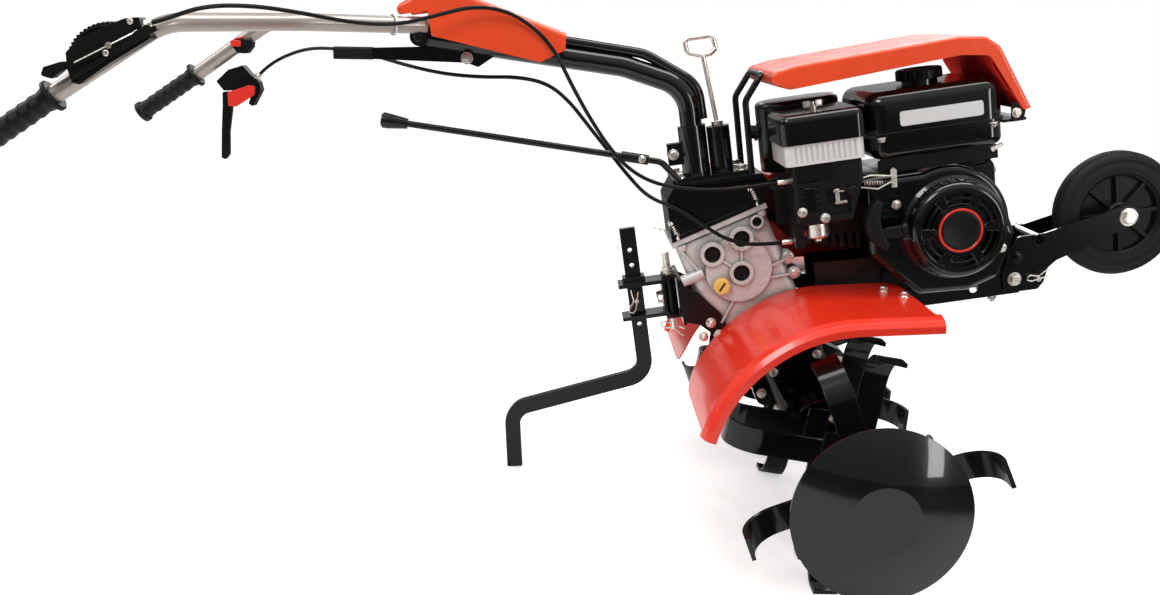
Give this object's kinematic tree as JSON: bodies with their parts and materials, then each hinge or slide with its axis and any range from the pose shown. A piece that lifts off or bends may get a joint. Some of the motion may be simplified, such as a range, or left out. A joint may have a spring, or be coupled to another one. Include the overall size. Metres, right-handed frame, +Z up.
{
  "type": "garden tiller",
  "caption": "Walk-behind petrol garden tiller with a tine rotor under mudguards, a folding front transport wheel, a swivelling handlebar and a rear drag stake.",
  "frame": {"origin": "middle of the whole machine in plan, on the floor that its tines and drag stake stand on", "axes": "+X forwards, towards the transport wheel; +Y to the operator's left; +Z up; the machine stands pitched back on its tines and stake"},
  "size_m": [1.7682, 0.904, 0.8181],
  "materials": {
    "black_steel": "satin black paint",
    "engine_casting": "matt dark engine casting",
    "black_casting": "satin black paint over a casting",
    "gloss_black": "gloss black paint",
    "tank_black": "gloss black paint",
    "red_paint": "glossy red-orange paint",
    "orange_plastic": "satin red-orange moulded plastic",
    "cast_aluminium": "as cast aluminium",
    "yellow_plastic": "yellow moulded plastic",
    "red_plastic": "red moulded plastic",
    "black_plastic": "matt black moulded plastic",
    "pale_plastic": "light grey moulded plastic",
    "rim_plastic": "black moulded plastic",
    "cable_sheath": "black plastic cable sheath",
    "grip_rubber": "soft black grip rubber",
    "tyre": "black tyre rubber",
    "zinc_steel": "zinc plated steel",
    "bright_steel": "machined steel",
    "tine_steel": "black paint on spring steel",
    "bar_paint": "champagne grey metallic paint"
  },
  "bodies": {
    "chassis": {"bed_frame": "black_steel", "engine_block": "engine_casting", "fan_shroud": "black_steel", "recoil_starter": "black_plastic", "fuel_tank": "tank_black", "fuel_cap": "black_plastic", "air_cleaner_base": "pale_plastic", "air_cleaner_cover": "black_plastic", "carburettor": "black_plastic", "fuel_bowl": "zinc_steel", "muffler": "black_steel", "pull_handle": "black_plastic", "belt_cover": "red_paint", "gearbox": "cast_aluminium", "oil_plug": "yellow_plastic", "gearbox_cover": "black_steel", "lower_case": "black_casting", "mudguard_right": "red_paint", "mudguard_left": "red_paint", "mudguard_bracket": "black_steel", "pivot_bolt": "zinc_steel", "hood": "orange_plastic", "hood_stay": "black_steel", "hood_bracket": "black_steel", "column_sleeve": "black_casting", "lock_handle": "zinc_steel", "gear_lever": "black_steel", "hitch_bracket": "black_steel", "hitch_pin": "zinc_steel", "stake_holder": "black_steel", "throttle_cable": "cable_sheath", "clutch_cable": "cable_sheath"},
    "rotor": {"output_shaft": "bright_steel", "tine_set_left": "tine_steel", "tine_set_right": "tine_steel", "side_disc_left": "gloss_black", "side_disc_right": "gloss_black"},
    "fork": {"wheel_fork": "black_steel", "axle_bolt": "zinc_steel", "lock_pin": "zinc_steel"},
    "wheel": {"front_tyre": "tyre", "front_rim": "rim_plastic"},
    "handlebar": {"handle_column": "black_steel", "handle_bracket": "black_steel", "handle_cover": "orange_plastic", "handlebar_right": "bar_paint", "grip_right": "grip_rubber", "handlebar_left": "bar_paint", "grip_left": "grip_rubber", "throttle_lever": "black_plastic", "clutch_bracket": "black_steel", "clutch_pawl": "red_plastic", "clutch_lever": "black_steel", "kill_switch": "red_plastic"},
    "stake": {"drag_stake": "black_steel"}
  },
  "joints": [
    {"name": "rotor_spin", "type": "hinge", "parent": "chassis", "child": "rotor", "pos_m": [0.37647, 0, 0.18], "axis": [0, 1, 0], "continuous": true},
    {"name": "fork_fold", "type": "hinge", "parent": "chassis", "child": "fork", "pos_m": [0.63113, 0, 0.46378], "axis": [0, 1, 0], "range_deg": [0, 84]},
    {"name": "wheel_spin", "type": "hinge", "parent": "fork", "child": "wheel", "pos_m": [0.78413, 0, 0.59142], "axis": [0, 1, 0], "continuous": true},
    {"name": "handlebar_swivel", "type": "hinge", "parent": "chassis", "child": "handlebar", "pos_m": [0.10543, 0, 0.53766], "axis": [-0.3096, 0, 0.9509], "range_deg": [-30, 30], "deforming": ["throttle_cable", "clutch_cable"]},
    {"name": "stake_slide", "type": "slide", "parent": "chassis", "child": "stake", "axis": [-0.3096, 0, 0.9509], "range_m": [-0.048, 0.072]}
  ]
}
